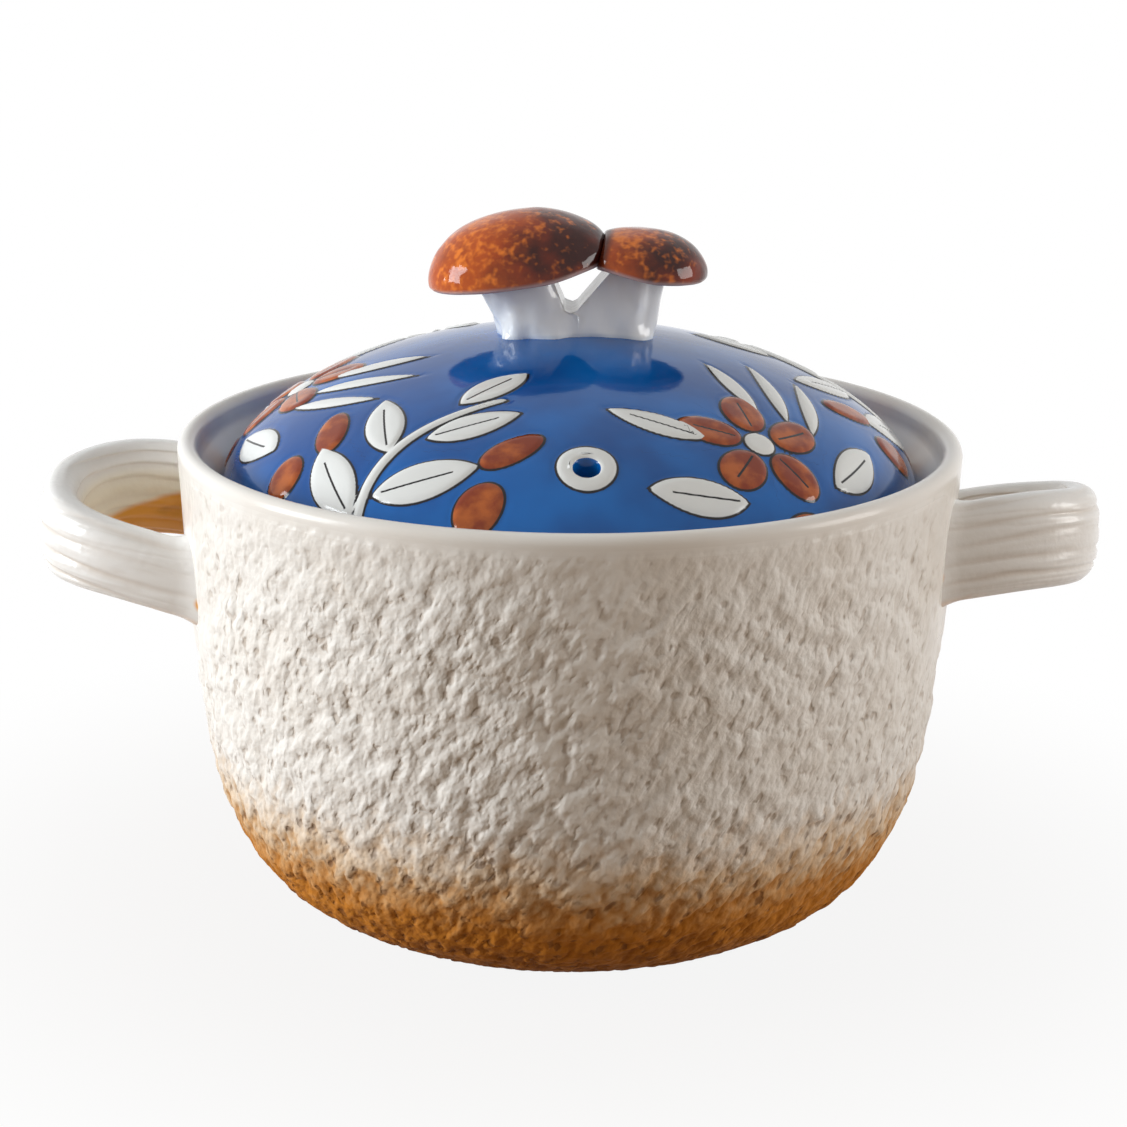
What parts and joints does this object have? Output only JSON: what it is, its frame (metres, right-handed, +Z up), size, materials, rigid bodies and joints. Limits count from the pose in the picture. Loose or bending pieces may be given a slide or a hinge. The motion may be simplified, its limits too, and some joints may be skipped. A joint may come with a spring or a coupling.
{
  "type": "casserole pot",
  "caption": "Round stoneware casserole pot with crumpled sides, side loop handles and a domed lid that sits sunken inside the rim and lifts by a mushroom-shaped knob.",
  "frame": {"origin": "centre of the foot, on the surface that the pot stands on", "axes": "+Z up along the pot's axis; +X through the handles, towards the right handle; the lid's steam vent is at its front, towards -Y"},
  "size_m": [0.2726, 0.2, 0.1838],
  "materials": {
    "pot_glaze": "cream satin glaze over crumpled stoneware, toasted ochre at the heel",
    "handle_glaze": "cream gloss glaze over grooved clay",
    "lid_glaze": "deep blue gloss glaze with raised white and amber figures",
    "stem_glaze": "cool white gloss glaze",
    "cap_glaze": "mottled chestnut brown gloss glaze"
  },
  "bodies": {
    "pot": {"pot_body": "pot_glaze", "handle_left": "handle_glaze", "handle_right": "handle_glaze"},
    "lid": {"lid_shell": "lid_glaze", "knob_stem_large": "stem_glaze", "knob_stem_small": "stem_glaze", "knob_cap_large": "cap_glaze", "knob_cap_small": "cap_glaze"}
  },
  "joints": [
    {"name": "lid_lift", "type": "slide", "parent": "pot", "child": "lid", "axis": [0, 0, 1], "range_m": [0, 0.14]}
  ]
}
